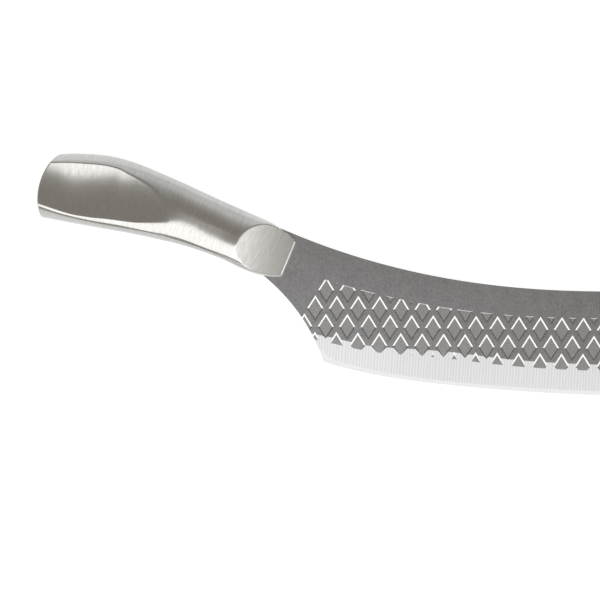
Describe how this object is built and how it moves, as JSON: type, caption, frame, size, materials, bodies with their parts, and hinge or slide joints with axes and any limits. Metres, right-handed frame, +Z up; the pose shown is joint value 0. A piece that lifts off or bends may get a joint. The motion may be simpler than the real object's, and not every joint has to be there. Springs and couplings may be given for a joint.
{
  "type": "cheese knife",
  "caption": "Curved cheese knife with shallow diamond-shaped pockets in both sides of its blade and a hollow steel handle with scalloped sides.",
  "frame": {"origin": "middle of the bounding box in plan, at the height of the table that the knife lies on", "axes": "+X towards the tip of the blade, +Y towards the spine, +Z up from the table, out of the blade's right side"},
  "size_m": [0.3086, 0.1064, 0.0251],
  "materials": {
    "blade_steel": "fine satin on the flats, finely ground on the bevels",
    "bolster_steel": "satin, brushed across the facets",
    "handle_steel": "satin, brushed across the scallops",
    "tang_cement": "rough cast filler",
    "balance_sand": "compacted grains"
  },
  "bodies": {
    "root": {"blade": "blade_steel", "bolster": "bolster_steel", "handle_shell_right": "handle_steel", "handle_shell_left": "handle_steel", "tang_cement": "tang_cement", "balance_sand": "balance_sand"}
  },
  "joints": []
}
